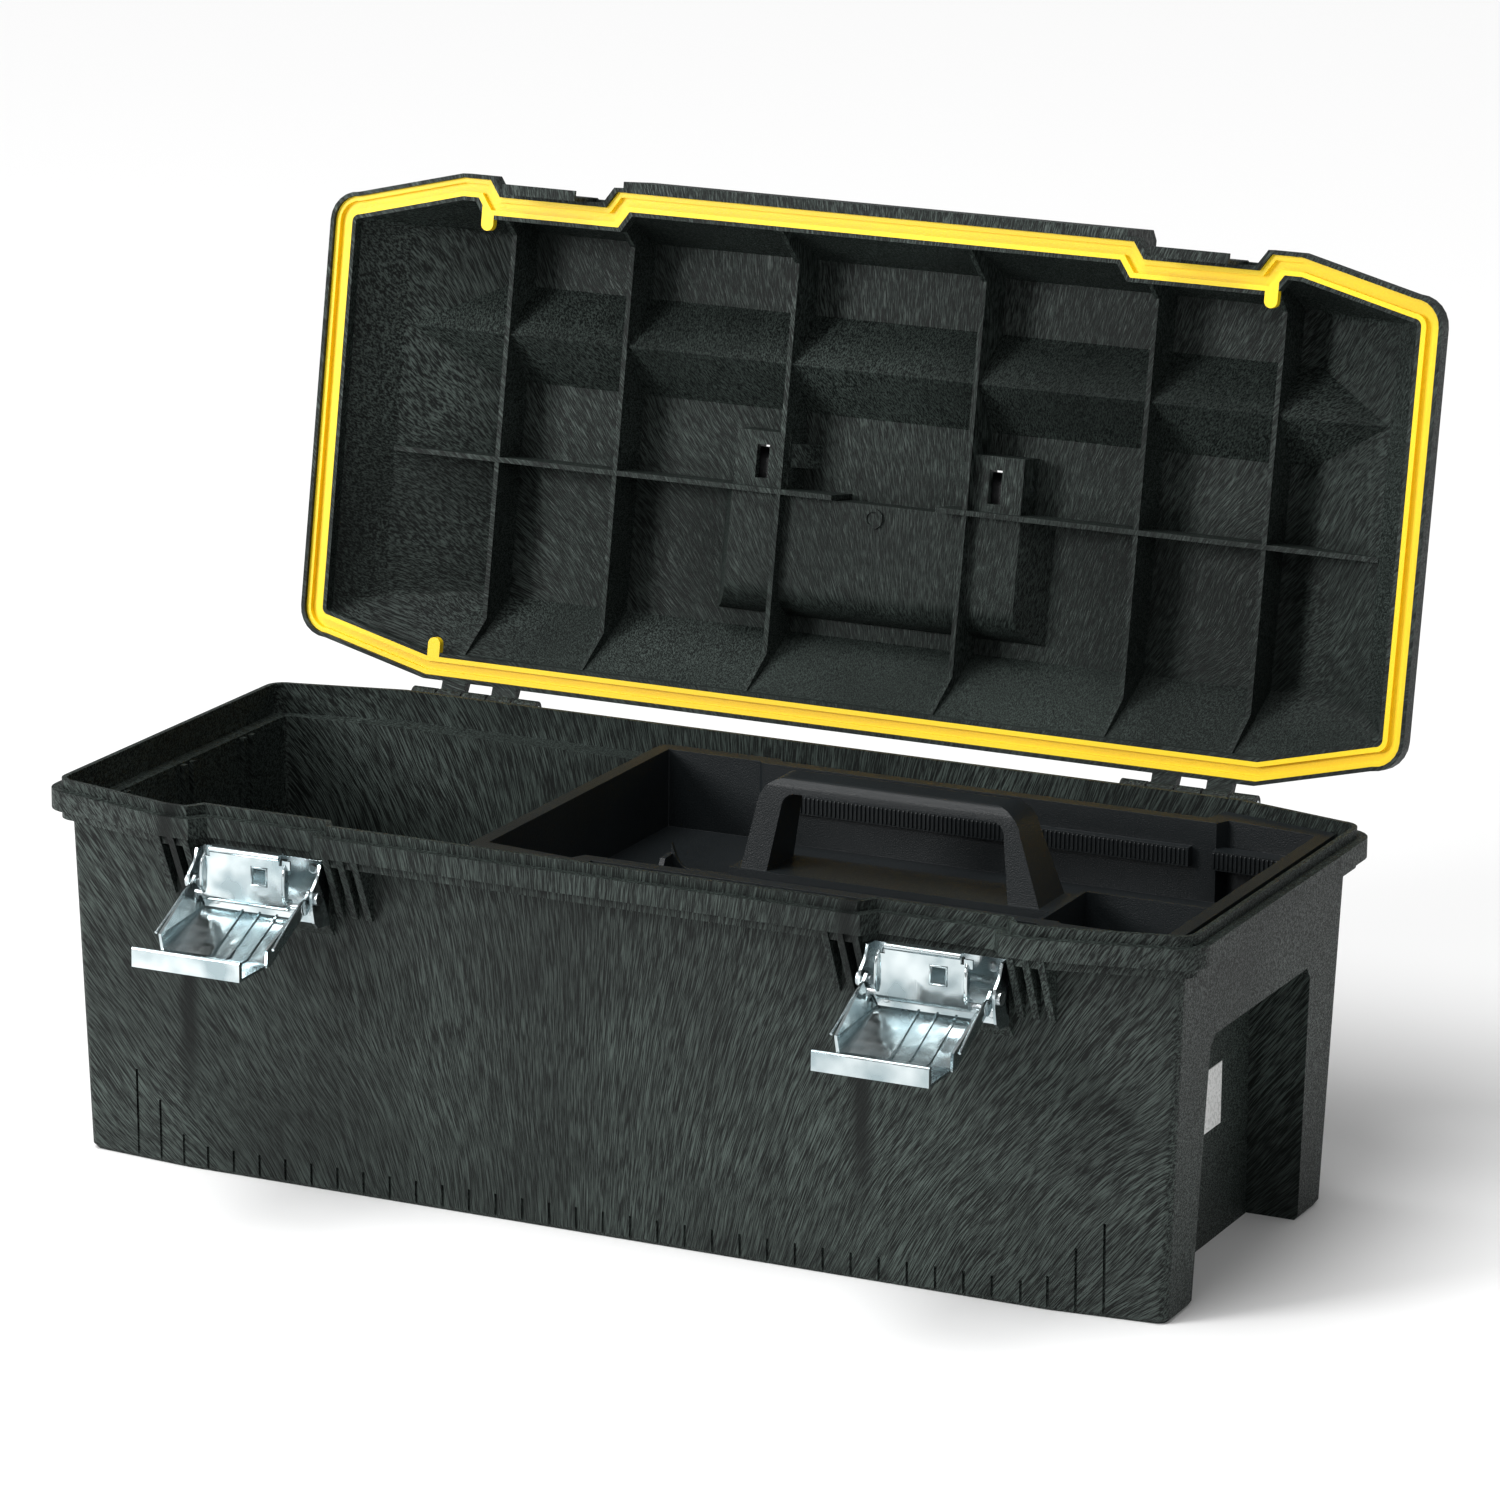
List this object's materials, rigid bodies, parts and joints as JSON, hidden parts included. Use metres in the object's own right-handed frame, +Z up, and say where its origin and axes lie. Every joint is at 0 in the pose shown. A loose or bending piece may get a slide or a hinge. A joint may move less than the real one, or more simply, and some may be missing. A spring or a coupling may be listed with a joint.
{
  "type": "carpenter toolbox",
  "caption": "Long moulded carpenter toolbox with a hinged, sealed lid, a lift-out tote tray, a folding carry handle and steel draw latches.",
  "frame": {"origin": "on the ground under the middle of the box", "axes": "+X along the length to the right, -Y to the front where the latches are, +Z up"},
  "size_m": [0.708, 0.5055, 0.5264],
  "materials": {
    "foam_shell": "structural foam, near-black with grey-green flow swirls",
    "tray_plastic": "fine-textured blue-black",
    "handle_plastic": "smooth black",
    "seal_rubber": "bright yellow, satin",
    "grip_rubber": "soft black",
    "plated_steel": "bright zinc plate with cloudy reflections",
    "pin_steel": "zinc plated",
    "label_film": "blank white sticker"
  },
  "bodies": {
    "box": {"box_body": "foam_shell", "end_label": "label_film", "hinge_pin_left": "pin_steel", "hinge_pin_right": "pin_steel", "latch_base_left": "plated_steel", "latch_base_right": "plated_steel", "latch_rivets": "pin_steel", "latch_pin_left": "pin_steel", "latch_pin_right": "pin_steel"},
    "lid": {"lid_shell": "foam_shell", "lid_seal": "seal_rubber", "handle_pin_left": "pin_steel", "handle_pin_right": "pin_steel"},
    "handle": {"carry_handle": "handle_plastic", "handle_grip": "grip_rubber"},
    "tray": {"tote_tray": "tray_plastic"},
    "lever_left": {"latch_lever_left": "plated_steel", "link_pin_left": "pin_steel"},
    "lever_right": {"latch_lever_right": "plated_steel", "link_pin_right": "pin_steel"},
    "link_left": {"latch_link_left": "plated_steel"},
    "link_right": {"latch_link_right": "plated_steel"}
  },
  "joints": [
    {"name": "lid_hinge", "type": "hinge", "parent": "box", "child": "lid", "pos_m": [0, 0.1618, 0.214], "axis": [-1, 0, 0], "range_deg": [-99.8, 0]},
    {"name": "carry_handle", "type": "hinge", "parent": "lid", "child": "handle", "pos_m": [0, 0.24714, 0.36143], "axis": [1, 0, 0], "range_deg": [0, 90]},
    {"name": "tray_lift", "type": "slide", "parent": "box", "child": "tray", "axis": [0, 0, 1], "range_m": [0, 0.25]},
    {"name": "latch_left", "type": "hinge", "parent": "box", "child": "lever_left", "pos_m": [-0.2065, -0.1485, 0.18], "axis": [-1, 0, 0], "range_deg": [-70, 100]},
    {"name": "latch_right", "type": "hinge", "parent": "box", "child": "lever_right", "pos_m": [0.2065, -0.1485, 0.18], "axis": [-1, 0, 0], "range_deg": [-70, 100]},
    {"name": "link_left", "type": "hinge", "parent": "lever_left", "child": "link_left", "pos_m": [-0.2065, -0.15543, 0.176], "axis": [-1, 0, 0], "range_deg": [-100, 70]},
    {"name": "link_right", "type": "hinge", "parent": "lever_right", "child": "link_right", "pos_m": [0.2065, -0.15543, 0.176], "axis": [-1, 0, 0], "range_deg": [-100, 70]}
  ],
  "couplings": [
    {"joint": "link_left", "follows": "latch_left", "ratio": -1},
    {"joint": "link_right", "follows": "latch_right", "ratio": -1}
  ]
}
